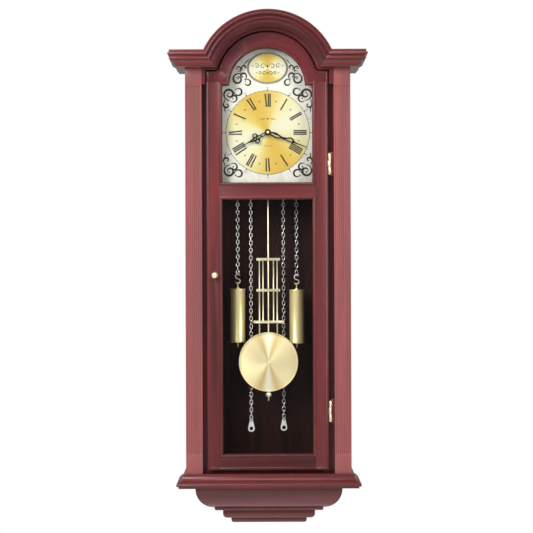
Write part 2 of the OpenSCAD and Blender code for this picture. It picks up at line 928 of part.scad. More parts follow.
module weight_chain(x, bottom_h) {
    hook_h = bottom_h + weight_len + 14.8;
    chain(x, hook_h + 3 * 4.45 - 2.5);
    s_hook(x, hook_h);
}

module left_weight_chain() {
    weight_chain(left_weight_x, left_weight_h);
}

module right_weight_chain() {
    weight_chain(right_weight_x, right_weight_h);
}

module left_pull_chain() {
    chain(left_pull_x, left_tag_h);
}

module right_pull_chain() {
    chain(right_pull_x, right_tag_h);
}

// A brass shell with a cap, an eye on top and a stud underneath.
module weight(x, bottom_h) {
    top = bottom_h + weight_len;
    eye_h = top + 14.8 - 4.45;
    color(brass) {
        upright(x, chain_y, bottom_h, top, weight_r);
        upright(x, chain_y, top - 2.2, top, weight_r + 0.4);
        upright(x, chain_y, bottom_h + 0.6, bottom_h + 2.4, weight_r + 0.3);
        upright(x, chain_y, top, top + 2.6, 3);
        upright(x, chain_y, top + 2.6, eye_h - 2, 1.2);
        wire_ring(x, chain_y, eye_h, 2.6, 0.8, 90);
        upright(x, chain_y, bottom_h - 6, bottom_h, 1.7);
        upright(x, chain_y, bottom_h - 9, bottom_h - 6, 1.1);
    }
}

module left_weight() {
    weight(left_weight_x, left_weight_h);
}

module right_weight() {
    weight(right_weight_x, right_weight_h);
}

// A teardrop tag that hangs from its small upper hole.
module pull_tag(x, hole_h) {
    top_r = 3;
    drop = 14.5;
    tilt = asin((tag_r - top_r) / drop);
    color(steel) board(chain_y + 0.6, 1.2) translate([x, hole_h]) difference() {
        polygon(concat(
            [for (i = [0:20]) let (a = tilt + (180 - 2 * tilt) * i / 20) [top_r * cos(a), top_r * sin(a)]],
            [for (i = [0:36]) let (a = 180 - tilt + (180 + 2 * tilt) * i / 36)
                [tag_r * cos(a), tag_r * sin(a) - drop]]));
        circle(r = 1.7);
        translate([0, -drop]) circle(r = 3.7);
    }
}

module left_pull_tag() {
    pull_tag(left_pull_x, left_tag_h);
}

module right_pull_tag() {
    pull_tag(right_pull_x, right_tag_h);
}

// ---- Pendulum ----

module pendulum_rod() {
    color(brass) {
        wire_ring(0, pend_y, pend_pivot_h, 2.7, 1);
        upright(0, pend_y, 236.5, pend_pivot_h - 2.4, rod_r);
        lift(236.5) translate([0, pend_y, 0]) sphere(r = rod_r);
    }
}

// Three crossbars and four side rods; the outer rods run on down behind the bob.
module pendulum_lyre() {
    rod_x = [-16.8, -10, 9.8, 16.7];
    bar_half = [22.3, 22.3, 26];
    foot_h = [350, bar_heights[2], bar_heights[2], 350];
    color(brass) difference() {
        union() {
            for (i = [0:3]) upright(rod_x[i], pend_y, foot_h[i], bar_heights[0], 1.3);
            for (i = [0:2]) block(-bar_half[i], bar_half[i], pend_y - 2.2, pend_y + 2.2,
                bar_heights[i] - 2.4, bar_heights[i] + 2.4);
            for (side = [-1, 1]) translate([side * 26, pend_y, 0]) lift(bar_heights[2]) {
                sphere(r = 2.9);
                rotate([0, side * 90, 0]) cylinder(h = 4.4, r1 = 2, r2 = 0.6);
            }
        }
        upright(0, pend_y, 300, 520, rod_r + 0.06);
    }
}

// A disc with a low dome, a raised rim and, behind it, the sleeve that rides on the rating nut.
module pendulum_bob() {
    back_face_y = pend_y - 1.6;
    rim_w = 2.6;
    dome_x = bob_r - rim_w;
    dome_rise = 4.4;
    dome_r = (pow(dome_x, 2) + pow(dome_rise, 2)) / (2 * dome_rise);
    dome_a = asin(dome_x / dome_r);
    color(brass) difference() {
        union() {
            translate([0, back_face_y, bob_h - hanger_h]) rotate([90, 0, 0]) rotate_extrude() polygon(concat(
                [[0, 0], [bob_r, 0], [bob_r, 3], [bob_r - 0.6, 3.8], [bob_r - 2, 3.8], [dome_x, 3]],
                [for (i = [15:-1:1]) let (a = dome_a * i / 16) [dome_r * sin(a), 3 + dome_rise - dome_r * (1 - cos(a))]],
                [[0, 3 + dome_rise]]
            ));
            upright(0, pend_y, nut_h + 5.9, 300, 3);
        }
        upright(0, pend_y, 200, 420, rod_r + 0.06);
    }
}

module rating_nut() {
    color(brass) difference() {
        upright(0, pend_y, nut_h, nut_h + 5.6, 5.4);
        upright(0, pend_y, nut_h - 1, nut_h + 7, rod_r + 0.06);
        for (a = [0:20:340]) translate([5.7 * cos(a), 5.7 * sin(a), 0])
            upright(0, pend_y, nut_h - 1, nut_h + 7, 0.6);
    }
}

left_side_panel();
right_side_panel();
back_panel();
bottom_board();
roof_board();
pediment_board();
left_face_stile();
right_face_stile();
left_pilaster();
right_pilaster();
crown_arch_moulding();
left_crown_moulding();
right_crown_moulding();
base_moulding();
apron();
upper_drop_moulding();
middle_drop_moulding();
lower_drop_moulding();
hanger_plate();
case_screws();
wall_bumpers();
door_left_stile();
door_right_stile();
door_arch_rail();
door_mid_rail();
door_bottom_rail();
dial_glass();
door_glass();
glass_retainers();
door_knob();
door_screws();
strike_plate();
magnet_catch();
door_hinge_leaves();
case_hinge_leaves();
hinge_pins();
dial_plate();
movement_housing();
shaft_nut();
hour_hand();
minute_hand();
hand_nut();
time_set_knob();
battery_cover();
batteries();
speaker();
chime_switch();
chain_rail();
left_weight_chain();
right_weight_chain();
left_pull_chain();
right_pull_chain();
left_weight();
right_weight();
left_pull_tag();
right_pull_tag();
pendulum_rod();
pendulum_lyre();
pendulum_bob();
rating_nut();
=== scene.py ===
import math
import random

import bmesh
import bpy
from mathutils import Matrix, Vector


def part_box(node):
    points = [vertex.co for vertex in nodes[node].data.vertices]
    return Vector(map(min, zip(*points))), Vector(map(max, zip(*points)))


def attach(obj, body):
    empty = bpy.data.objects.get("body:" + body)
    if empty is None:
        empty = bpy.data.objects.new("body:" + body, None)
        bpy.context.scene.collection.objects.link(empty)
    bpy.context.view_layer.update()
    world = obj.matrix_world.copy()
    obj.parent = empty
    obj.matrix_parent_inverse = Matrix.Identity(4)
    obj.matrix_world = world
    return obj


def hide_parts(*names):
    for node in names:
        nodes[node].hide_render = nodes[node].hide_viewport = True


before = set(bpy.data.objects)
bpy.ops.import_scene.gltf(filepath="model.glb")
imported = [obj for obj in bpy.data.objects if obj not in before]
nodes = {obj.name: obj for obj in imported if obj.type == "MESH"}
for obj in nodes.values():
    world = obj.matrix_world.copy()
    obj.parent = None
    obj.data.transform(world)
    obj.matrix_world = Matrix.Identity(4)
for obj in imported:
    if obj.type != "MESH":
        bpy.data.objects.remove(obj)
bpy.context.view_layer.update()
rng = random.Random(7)

MM = 0.001
HANGER_H = 0.900          # height of the hanger hole, the origin, above the lowest moulding

# heights above the lowest moulding, in millimetres
DIAL_H = 741.4
ARCH_CENTRE_H = 834
BOB_H = 309
CHAIN_PIVOT_H = 621
CARTOUCHE_Z = 121.3       # the cartouche's centre above the dial's, in millimetres


def high(h_mm):
    """The z of a height above the lowest moulding, given in millimetres."""
    return h_mm * MM - HANGER_H


# ---------------------------------------------------------------- camera and studio

CAMERA_X = -0.0032
CAMERA_DISTANCE = 3.45    # in front of the crown's front edge
VIEW_WIDTH = 0.986        # what the frame takes in at that distance
CAMERA_ROLL = 0.2
CAMERA_H = 489.3

camera_data = bpy.data.cameras.new("camera")
camera_data.sensor_width = 36.0
camera_data.lens = 36.0 * CAMERA_DISTANCE / VIEW_WIDTH
camera = bpy.data.objects.new("camera", camera_data)
camera.location = (CAMERA_X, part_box("crown_arch_moulding")[0].y - CAMERA_DISTANCE, high(CAMERA_H))
camera.rotation_euler = (math.radians(90), math.radians(CAMERA_ROLL), 0)
bpy.context.scene.collection.objects.link(camera)
bpy.context.scene.camera = camera
bpy.context.scene.view_settings.view_transform = "Standard"


def area_light(name, place, target, size, watts):
    data = bpy.data.lights.new(name, "AREA")
    data.shape = "RECTANGLE"
    data.size, data.size_y = size
    data.energy = watts
    light = bpy.data.objects.new(name, data)
    light.location = place
    light.rotation_euler = (Vector(target) - Vector(place)).to_track_quat("-Z", "Y").to_euler()
    bpy.context.scene.collection.objects.link(light)


middle = (0, 0, high(480))
area_light("key", (-1.5, -2.3, 1.0), middle, (1.0, 1.8), 84)
area_light("fill", (2.0, -2.0, 0.2), middle, (0.7, 1.8), 34)
area_light("top", (0, -0.7, 1.4), (0, -0.05, high(900)), (1.2, 0.6), 16)

world = bpy.data.worlds.new("studio")
world.use_nodes = True
sky = world.node_tree.nodes["Background"]
sky.inputs["Color"].default_value = (1, 1, 1, 1)
ray = world.node_tree.nodes.new("ShaderNodeLightPath")
level = world.node_tree.nodes.new("ShaderNodeMapRange")     # white to look at, dimmer as a light
level.inputs["To Min"].default_value = 0.38
level.inputs["To Max"].default_value = 1.0
world.node_tree.links.new(ray.outputs["Is Camera Ray"], level.inputs["Value"])
world.node_tree.links.new(level.outputs[0], sky.inputs["Strength"])
bpy.context.scene.world = world


# ---------------------------------------------------------------- node helpers

class Net:
    """A material's node tree with short calls for the nodes used here."""

    def __init__(self, name):
        self.material = bpy.data.materials.new(name)
        self.material.use_nodes = True
        self.tree = self.material.node_tree
        self.shader = self.tree.nodes["Principled BSDF"]

    def node(self, kind, **settings):
        made = self.tree.nodes.new(kind)
        for key, value in settings.items():
            setattr(made, key, value)
        return made

    def link(self, source, target):
        self.tree.links.new(source, target)

    def put(self, target, value):
        """Sets a socket to a number, or links it to another socket."""
        if isinstance(value, bpy.types.NodeSocket):
            self.link(value, target)
        else:
            target.default_value = value

    def math(self, operation, a, b=0.0):
        made = self.node("ShaderNodeMath", operation=operation)
        for socket, value in zip(made.inputs, (a, b)):
            self.put(socket, value)
        return made.outputs[0]

    def around(self, centre_h):
        """The angle and the radius about an axis along Y at a height, and the Y, of the row frame's coordinates."""
        parts = self.node("ShaderNodeSeparateXYZ")
        self.link(self.node("ShaderNodeTexCoord").outputs["Object"], parts.inputs[0])
        across = parts.outputs["X"]
        up = self.math("SUBTRACT", parts.outputs["Z"], high(centre_h))
        squares = self.math("ADD", self.math("MULTIPLY", up, up), self.math("MULTIPLY", across, across))
        return self.math("ARCTAN2", up, across), self.math("SQRT", squares), parts.outputs["Y"]

    def join(self, x, y, z=0.0):
        made = self.node("ShaderNodeCombineXYZ")
        for socket, value in zip(made.inputs, (x, y, z)):
            self.put(socket, value)
        return made.outputs[0]

    def place(self, scale=(1, 1, 1), turn=(0, 0, 0), shift=(0, 0, 0)):
        """The row frame's coordinates in metres, turned and scaled."""
        where = self.node("ShaderNodeTexCoord").outputs["Object"]
        mapping = self.node("ShaderNodeMapping")
        self.link(where, mapping.inputs["Vector"])
        mapping.inputs["Scale"].default_value = scale
        mapping.inputs["Rotation"].default_value = turn
        mapping.inputs["Location"].default_value = shift
        return mapping.outputs["Vector"]

    def noise(self, vector, scale, detail=4.0, rough=0.55, distortion=0.0):
        made = self.node("ShaderNodeTexNoise")
        self.link(vector, made.inputs["Vector"])
        made.inputs["Scale"].default_value = scale
        made.inputs["Detail"].default_value = detail
        made.inputs["Roughness"].default_value = rough
        made.inputs["Distortion"].default_value = distortion
        return made.outputs["Fac"]

    def ramp(self, fac, stops):
        made = self.node("ShaderNodeValToRGB")
        self.link(fac, made.inputs["Fac"])
        elements = made.color_ramp.elements
        while len(elements) < len(stops):
            elements.new(0.5)
        for element, (at, colour) in zip(elements, stops):
            element.position = at
            element.color = (*colour, 1)
        return made.outputs["Color"]

    def mix(self, fac, a, b, blend="MIX"):
        made = self.node("ShaderNodeMix", data_type="RGBA", blend_type=blend)
        self.put(made.inputs[0], fac)
        for socket, value in ((made.inputs[6], a), (made.inputs[7], b)):
            linked = isinstance(value, bpy.types.NodeSocket)
            self.put(socket, value if linked else (*value, 1))
        return made.outputs[2]

    def range(self, value, low, top, to_low, to_top):
        made = self.node("ShaderNodeMapRange")
        for socket, number in zip(made.inputs, (value, low, top, to_low, to_top)):
            self.put(socket, number)
        return made.outputs[0]

    def bump(self, height, strength, distance):
        made = self.node("ShaderNodeBump")
        made.inputs["Strength"].default_value = strength
        made.inputs["Distance"].default_value = distance
        self.link(height, made.inputs["Height"])
        self.link(made.outputs["Normal"], self.shader.inputs["Normal"])

    def worn_edges(self, radius):
        """About 1 along sharp edges and 0 on flats."""
        pointed = self.node("ShaderNodeNewGeometry").outputs["Pointiness"]
        return self.range(pointed, 0.5, 0.5 + radius, 0.0, 1.0)

    def finish(self, colour, roughness, **sockets):
        """Sets the shader; a keyword such as Coat_Weight names the socket Coat Weight."""
        linked = isinstance(colour, bpy.types.NodeSocket)
        self.put(self.shader.inputs["Base Color"], colour if linked else (*colour, 1))
        self.put(self.shader.inputs["Roughness"], roughness)
        for name, value in sockets.items():
            self.shader.inputs[name.replace("_", " ")].default_value = value
        return self.material


# ---------------------------------------------------------------- materials

GRAIN_ACROSS = 34.0       # how often the figure of the wood changes per metre, across and along the grain
GRAIN_ALONG = 2.2
GRAIN_ROUND = 0.26        # and per radian along a bend


def mahogany(name, along, tint=1.0, shift=0.0, painted_sheen=0.05):
    """Red mahogany under semi-gloss lacquer; along is the direction of the grain, or "arch" for bent wood.

    The last argument sets how much painted sheen, a pale pink standing in for the lacquer's reflection of the
    lights, lies over the colour.
    """
    net = Net(name)
    if along == "arch":
        angle, radius, depth = net.around(ARCH_CENTRE_H)
        vector = net.join(net.math("MULTIPLY", radius, GRAIN_ACROSS), net.math("MULTIPLY", depth, GRAIN_ACROSS),
                          net.math("MULTIPLY", angle, GRAIN_ROUND))
    else:
        stretch = [GRAIN_ALONG if axis == along else GRAIN_ACROSS for axis in "xyz"]
        vector = net.place(stretch, shift=(shift, 1.7 * shift, 0.6 * shift))
    figure = net.noise(vector, 1.0, 5.0, 0.6, 0.6)
    streak = net.noise(vector, 5.5, 6.0, 0.65)
    pores = net.noise(vector, 26.0, 3.0, 0.7)
    dark = (0.024 * tint, 0.0020 * tint, 0.0034 * tint)
    middle_tone = (0.088 * tint, 0.0062 * tint, 0.0098 * tint)
    light = (0.190 * tint, 0.0150 * tint, 0.0200 * tint)
    base = net.ramp(figure, [(0.28, dark), (0.52, middle_tone), (0.80, light)])
    base = net.mix(net.range(streak, 0.42, 0.62, 0.0, 0.55), base, net.mix(0.5, base, dark))
    base = net.mix(net.range(pores, 0.60, 0.72, 0.0, 0.45), base, dark)
    base = net.mix(net.math("MULTIPLY", net.worn_edges(0.12), 0.09), base, (0.36, 0.095, 0.085))
    # painted sheen: a pale pink over the colour, standing in for the lacquer's reflection of the lights
    base = net.mix(painted_sheen, base, (0.42, 0.18, 0.165))
    rough = net.range(streak, 0.3, 0.7, 0.24, 0.36)
    net.bump(net.math("ADD", net.math("MULTIPLY", pores, 0.7), streak), 0.12, 0.0004)
    return net.finish(base, rough, Coat_Weight=0.12, Coat_Roughness=0.14, IOR=1.5,
                      Specular_IOR_Level=0.30)


def stained_board(name):
    """The dark stained back of the case with its faint upright grain."""
    net = Net(name)
    vector = net.place((60, 60, 2.0))
    figure = net.noise(vector, 1.0, 6.0, 0.65, 0.4)
    fine = net.noise(vector, 9.0, 4.0, 0.7)
    base = net.ramp(figure, [(0.3, (0.0060, 0.0016, 0.0018)), (0.55, (0.0300, 0.0072, 0.0068)),
                             (0.8, (0.062, 0.0160, 0.0140))])
    base = net.mix(net.range(fine, 0.55, 0.7, 0.0, 0.6), base, (0.004, 0.002, 0.002))
    net.bump(fine, 0.2, 0.0004)
    return net.finish(base, net.range(fine, 0.3, 0.7, 0.45, 0.62), IOR=1.45, Specular_IOR_Level=0.15)


def metal(name, colour, rough, stretch=(1, 1, 1), grain=400.0, tarnish=0.25,
          dark=(0.35, 0.24, 0.10), relief=0.05, metallic=1.0):
    """Metal with fine polishing lines, small stains and uneven gloss."""
    net = Net(name)
    lines = net.noise(net.place(stretch), grain, 3.0, 0.6)
    stains = net.noise(net.place(), 42.0, 5.0, 0.6)
    base = net.mix(net.range(stains, 0.5, 0.75, 0.0, tarnish), colour, dark)
    base = net.mix(net.range(lines, 0.35, 0.7, 0.0, 0.18), base, tuple(min(1.0, 1.12 * c) for c in colour))
    gloss = net.math("ADD", net.range(lines, 0.3, 0.7, rough * 0.75, rough * 1.3),
                     net.range(stains, 0.4, 0.7, 0.0, 0.06))
    net.bump(lines, relief, 0.0001)
    return net.finish(base, gloss, Metallic=metallic)


def spun_brass_painted_highlight(name, centre_h):
    """Satin brass brushed out from its centre with an anisotropic shine that fans like a spun disc's, and a painted
    highlight: a pale wedge straight above and below the centre, with painted shade in darker wedges beside it.
    """
    net = Net(name)
    angle, radius, _ = net.around(centre_h)
    spokes = net.join(net.math("MULTIPLY", angle, 26.0), net.math("MULTIPLY", radius, 8.0))
    rays = net.noise(spokes, 6.0, 4.0, 0.7)
    # painted highlight and painted shade: a pale wedge up and down from the centre, darker wedges beside it
    upright = net.math("ABSOLUTE", net.math("COSINE", angle))
    painted_highlight_wedge = net.range(upright, 0.02, 0.20, 1.0, 0.0)
    painted_shade_wedges = net.math("MULTIPLY", net.range(upright, 0.10, 0.30, 0.0, 1.0),
                      net.range(upright, 0.34, 0.62, 1.0, 0.0))
    base = net.mix(painted_shade_wedges, (1.0, 0.84, 0.49), (0.76, 0.56, 0.26))
    base = net.mix(painted_highlight_wedge, base, (1.0, 0.95, 0.76))
    base = net.mix(net.range(rays, 0.35, 0.7, 0.0, 0.15), base, (0.74, 0.56, 0.28))
    net.bump(rays, 0.05, 0.0002)
    tangent = net.node("ShaderNodeTangent", direction_type="RADIAL", axis="Y")
    net.link(tangent.outputs[0], net.shader.inputs["Tangent"])
    return net.finish(base, net.range(rays, 0.3, 0.7, 0.40, 0.48), Metallic=0.72, Anisotropic=0.5)


def plastic(name, colour, rough, grain=900.0):
    """Moulded plastic or rubber with a fine grain and a little dust."""
    net = Net(name)
    fine = net.noise(net.place(), grain, 2.0, 0.5)
    dust = net.noise(net.place(), 30.0, 4.0, 0.6)
    paler = tuple(min(1.0, c * 1.5 + 0.02) for c in colour)
    base = net.mix(net.range(dust, 0.5, 0.8, 0.0, 0.35), colour, paler)
    net.bump(fine, 0.15, 0.0001)
    return net.finish(base, net.range(dust, 0.3, 0.7, rough * 0.85, rough * 1.2), IOR=1.46)


def clear_glass(name):
    """Thin clear panes with a trace of dust that softens their reflections."""
    net = Net(name)
    dust = net.noise(net.place(), 12.0, 5.0, 0.6)
    material = net.finish((0.98, 1.0, 0.99), net.range(dust, 0.4, 0.8, 0.0, 0.05), IOR=1.45, Metallic=1.0)
    clear = net.node("ShaderNodeBsdfTransparent")
    clear.inputs["Color"].default_value = (0.985, 0.995, 0.99, 1)
    fresnel = net.node("ShaderNodeFresnel")
    fresnel.inputs["IOR"].default_value = 1.16
    mixed = net.node("ShaderNodeMixShader")
    net.link(fresnel.outputs[0], mixed.inputs[0])
    net.link(clear.outputs[0], mixed.inputs[1])
    net.link(net.shader.outputs[0], mixed.inputs[2])
    net.link(mixed.outputs[0], net.tree.nodes["Material Output"].inputs["Surface"])
    return material


def dial_paint(name):
    """Ivory dial enamel with a faint marbled print."""
    net = Net(name)
    cloud = net.noise(net.place(), 55.0, 6.0, 0.65, 0.8)
    speck = net.noise(net.place(), 600.0, 2.0, 0.5)
    base = net.ramp(cloud, [(0.3, (0.66, 0.62, 0.55)), (0.55, (0.79, 0.75, 0.67)),
                            (0.8, (0.87, 0.83, 0.76))])
    net.bump(speck, 0.05, 0.0001)
    return net.finish(base, net.range(cloud, 0.3, 0.7, 0.34, 0.44), IOR=1.45)


def gold_disc(name, centre_h, deep_deg):
    """Gilt whose colour fans with the angle: deep gold towards deep_deg and opposite it, and pale between."""
    net = Net(name)
    angle, radius, _ = net.around(centre_h)
    fan = net.math("COSINE", net.math("MULTIPLY", net.math("SUBTRACT", angle, math.radians(deep_deg)), 2.0))
    spokes = net.join(net.math("MULTIPLY", angle, 30.0), net.math("MULTIPLY", radius, 10.0))
    rays = net.noise(spokes, 4.0, 4.0, 0.7)
    base = net.ramp(net.range(fan, -1.0, 1.0, 0.0, 1.0),
                    [(0.0, (0.92, 0.88, 0.66)), (0.45, (0.90, 0.80, 0.42)),
                     (0.72, (0.84, 0.63, 0.18)), (1.0, (0.78, 0.50, 0.09))])
    base = net.mix(net.range(rays, 0.35, 0.7, 0.0, 0.12), base, (0.60, 0.40, 0.10))
    net.bump(rays, 0.05, 0.0001)
    return net.finish(base, net.range(rays, 0.3, 0.7, 0.30, 0.38), Metallic=0.35)


def printed_ink(name, colour=(0.012, 0.012, 0.014), gloss=0.5):
    """Screen-printed ink or thin lacquer with fine specks."""
    net = Net(name)
    speck = net.noise(net.place(), 900.0, 2.0, 0.5)
    base = net.mix(net.range(speck, 0.45, 0.8, 0.0, 0.5), colour, tuple(c + 0.012 for c in colour))
    net.bump(speck, 0.08, 0.0001)
    return net.finish(base, net.range(speck, 0.3, 0.7, 0.36, 0.5), Specular_IOR_Level=gloss)


def backdrop_paint(name):
    """The floor's pale matt paint."""
    net = Net(name)
    cloud = net.noise(net.place(), 3.0, 3.0, 0.5)
    return net.finish(net.ramp(cloud, [(0.3, (0.90, 0.90, 0.90)), (0.7, (0.93, 0.93, 0.93))]), 0.8)


MATERIALS = {
    # each mahogany carries a little painted sheen; the apron more, the pilasters most
    "upright_wood": mahogany("mahogany_upright", "z"),
    "level_wood": mahogany("mahogany_level", "x", shift=3.0),
    # the pilasters: a lighter copy of the same mahogany with strong painted sheen, painted light standing in for
    # the light they catch
    "painted_lit_pilaster_wood": mahogany("mahogany_pilasters_painted_lit", "z", tint=1.9, shift=9.0, painted_sheen=0.38),
    # the door's bottom rail: a darker copy of the same mahogany, painted shade
    "painted_shade_wood": mahogany("mahogany_bottom_rail_painted_shade", "x", tint=0.45, shift=12.0, painted_sheen=0.02),
    "apron_wood": mahogany("mahogany_apron", "x", shift=15.0, painted_sheen=0.13),
    "deep_wood": mahogany("mahogany_sides", "y", tint=0.9, shift=6.0),
    "arch_wood": mahogany("mahogany_bent", "arch"),
    "inner_wood": stained_board("stained_back"),
    "brass": metal("polished_brass", (0.90, 0.72, 0.36), 0.16, tarnish=0.15),
    "pale_brass": metal("satin_brass", (1.0, 0.88, 0.60), 0.32, tarnish=0.08),
    "weight_brass": metal("turned_brass", (1.0, 0.83, 0.42), 0.34, stretch=(1, 1, 14), grain=260.0,
                          tarnish=0.10, relief=0.01, metallic=0.6),
    "bob_brass": spun_brass_painted_highlight("spun_brass_painted_highlight", BOB_H),
    "steel": metal("bright_steel", (0.66, 0.64, 0.61), 0.26, dark=(0.25, 0.24, 0.22)),
    "tag_steel": metal("bright_tin", (0.97, 0.96, 0.93), 0.42, tarnish=0.10, dark=(0.5, 0.48, 0.45)),
    "glass": clear_glass("clear_glass"),
    "dial": dial_paint("dial_enamel"),
    "gold": gold_disc("gilt_centre", DIAL_H, 113),
    "ink": printed_ink("black_ink"),
    "soft_ink": printed_ink("grey_ink", (0.10, 0.085, 0.06)),
    "rope_ink": printed_ink("rope_grey", (0.16, 0.15, 0.13)),
    "cartouche_gold": gold_disc("gilt_cartouche", DIAL_H + CARTOUCHE_Z, 90),
    "hand_black": printed_ink("black_lacquer", (0.004, 0.004, 0.004), 0.15),
    "black_plastic": plastic("black_plastic", (0.018, 0.018, 0.019), 0.5),
    "red_plastic": plastic("red_plastic", (0.42, 0.03, 0.02), 0.35),
    "white_plastic": plastic("white_plastic", (0.62, 0.61, 0.57), 0.4),
    "battery_wrap": plastic("battery_wrap", (0.03, 0.08, 0.24), 0.3),
    "rubber": plastic("bumper_rubber", (0.03, 0.03, 0.03), 0.75, 500.0),
    "backdrop": backdrop_paint("floor_paint"),
}


# ---------------------------------------------------------------- finishing the CAD nodes

WELD = 0.00002            # points of a CAD mesh closer than this are one
SHARP_DEG = 32            # an edge that turns by more is shaded sharp
BEVELLED_DEG = 38         # and by more than this is rounded


def smooth_group():
    """A modifier that shades smooth except across sharp edges."""
    group = bpy.data.node_groups.new("smooth_by_angle", "GeometryNodeTree")
    group.interface.new_socket("Geometry", in_out="INPUT", socket_type="NodeSocketGeometry")
    group.interface.new_socket("Geometry", in_out="OUTPUT", socket_type="NodeSocketGeometry")
    add = group.nodes.new
    entry, out = add("NodeGroupInput"), add("NodeGroupOutput")
    faces, edges = add("GeometryNodeSetShadeSmooth"), add("GeometryNodeSetShadeSmooth")
    faces.domain, edges.domain = "FACE", "EDGE"
    angle, compare = add("GeometryNodeInputMeshEdgeAngle"), add("FunctionNodeCompare")
    compare.data_type, compare.operation = "FLOAT", "GREATER_THAN"
    compare.inputs[1].default_value = math.radians(SHARP_DEG)
    edges.inputs["Shade Smooth"].default_value = False
    link = group.links.new
    link(entry.outputs[0], faces.inputs["Geometry"])
    link(faces.outputs[0], edges.inputs["Geometry"])
    link(angle.outputs["Unsigned Angle"], compare.inputs[0])
    link(compare.outputs[0], edges.inputs["Selection"])
    link(edges.outputs[0], out.inputs[0])
    return group


SMOOTH = smooth_group()


def soften(obj, width):
    """Joins the node's faces, rounds its sharp edges a little and shades it."""
    weld = obj.modifiers.new("weld", "WELD")
    weld.merge_threshold = WELD
    if width:
        bevel = obj.modifiers.new("bevel", "BEVEL")
        bevel.width = width
        bevel.segments = 2
        bevel.limit_method = "ANGLE"
        bevel.angle_limit = math.radians(BEVELLED_DEG)
    shade = obj.modifiers.new("shade", "NODES")
    shade.node_group = SMOOTH


def dress(names, material, width=0.0):
    """Gives CAD nodes a material and rounds their edges by width."""
    for name in names:
        obj = nodes[name]
        obj.data.materials.clear()
        obj.data.materials.append(MATERIALS[material])
        soften(obj, width)


dress(["left_side_panel", "right_side_panel", "left_face_stile", "right_face_stile", "door_left_stile",
       "door_right_stile"], "upright_wood", 0.0005)
dress(["left_pilaster", "right_pilaster"], "painted_lit_pilaster_wood", 0.0005)
dress(["bottom_board", "base_moulding", "pediment_board", "door_mid_rail", "glass_retainers"], "level_wood", 0.0004)
dress(["apron", "upper_drop_moulding", "middle_drop_moulding", "lower_drop_moulding", "left_crown_moulding",
       "right_crown_moulding"], "apron_wood", 0.0004)
dress(["door_bottom_rail"], "painted_shade_wood", 0.0004)
dress(["roof_board"], "deep_wood", 0.0005)
dress(["crown_arch_moulding", "door_arch_rail"], "arch_wood", 0.0003)
dress(["back_panel", "chain_rail"], "inner_wood", 0.0003)
dress(["hanger_plate", "case_screws", "door_screws", "strike_plate"], "steel", 0.0002)
dress(["left_pull_tag", "right_pull_tag"], "tag_steel", 0.0002)
dress(["shaft_nut", "hand_nut"], "brass", 0.0002)
dress(["door_knob", "door_hinge_leaves", "case_hinge_leaves", "hinge_pins", "pendulum_rod", "pendulum_lyre",
       "rating_nut"], "pale_brass", 0.0002)
dress(["left_weight", "right_weight"], "weight_brass", 0.0004)
dress(["pendulum_bob"], "bob_brass", 0.0002)
dress(["dial_glass", "door_glass"], "glass")
dress(["dial_plate"], "dial", 0.0001)
dress(["movement_housing", "battery_cover", "speaker", "magnet_catch"], "black_plastic", 0.0004)
dress(["time_set_knob"], "red_plastic", 0.0002)
dress(["chime_switch"], "white_plastic", 0.0003)
dress(["batteries"], "battery_wrap", 0.0003)
dress(["wall_bumpers"], "rubber", 0.0003)


# ---------------------------------------------------------------- mesh helpers

def piece(name, bm, material, body, smooth=True):
    """Turns a bmesh, drawn in the row frame, into a named piece on its body."""
    bmesh.ops.recalc_face_normals(bm, faces=bm.faces)
    mesh = bpy.data.meshes.new(name)
    bm.to_mesh(mesh)
    bm.free()
    obj = bpy.data.objects.new(name, mesh)
    bpy.context.scene.collection.objects.link(obj)
    mesh.materials.append(MATERIALS[material])
    if smooth:
        shade = obj.modifiers.new("shade", "NODES")
        shade.node_group = SMOOTH
    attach(obj, body)
    return obj


def sweep(bm, path, radii, sides):
    """A round tube along points, with a radius at each."""
    rings = []
    for i, p in enumerate(path):
        along = (Vector(path[min(i + 1, len(path) - 1)]) - Vector(path[max(i - 1, 0)])).normalized()
        side = along.cross(Vector((0, 1, 0)))
        if side.length < 1e-4:
            side = along.cross(Vector((1, 0, 0)))
        side.normalize()
        other = along.cross(side).normalized()
        ring = []
        for k in range(sides):
            a = 2 * math.pi * k / sides
            offset = side * math.cos(a) * radii[i] + other * math.sin(a) * radii[i]
            ring.append(bm.verts.new(Vector(p) + offset))
        rings.append(ring)
    for a, b in zip(rings, rings[1:]):
        for k in range(sides):
            bm.faces.new((a[k], a[(k + 1) % sides], b[(k + 1) % sides], b[k]))
    bm.faces.new(rings[0])
    bm.faces.new(list(reversed(rings[-1])))


def slab(bm, outline, y_front, thickness):
    """A flat plate with the outline [(x, z), ...] at y_front, thickened towards +Y."""
    front = [bm.verts.new((x, y_front, z)) for x, z in outline]
    back = [bm.verts.new((x, y_front + thickness, z)) for x, z in outline]
    bm.faces.new(front)
    bm.faces.new(list(reversed(back)))
    count = len(outline)
    for i in range(count):
        j = (i + 1) % count
        bm.faces.new((front[j], front[i], back[i], back[j]))


def annulus(bm, outer, inner, y_front, thickness, steps):
    """A flat ring around the dial's centre."""
    rings = []
    y_back = y_front + thickness
    for r, y in ((outer, y_front), (inner, y_front), (inner, y_back), (outer, y_back)):
        rings.append([bm.verts.new((r * math.cos(2 * math.pi * i / steps), y,
                                    high(DIAL_H) + r * math.sin(2 * math.pi * i / steps)))
                      for i in range(steps)])
    for a, b in zip(rings, rings[1:] + rings[:1]):
        for i in range(steps):
            j = (i + 1) % steps
            bm.faces.new((a[i], a[j], b[j], b[i]))


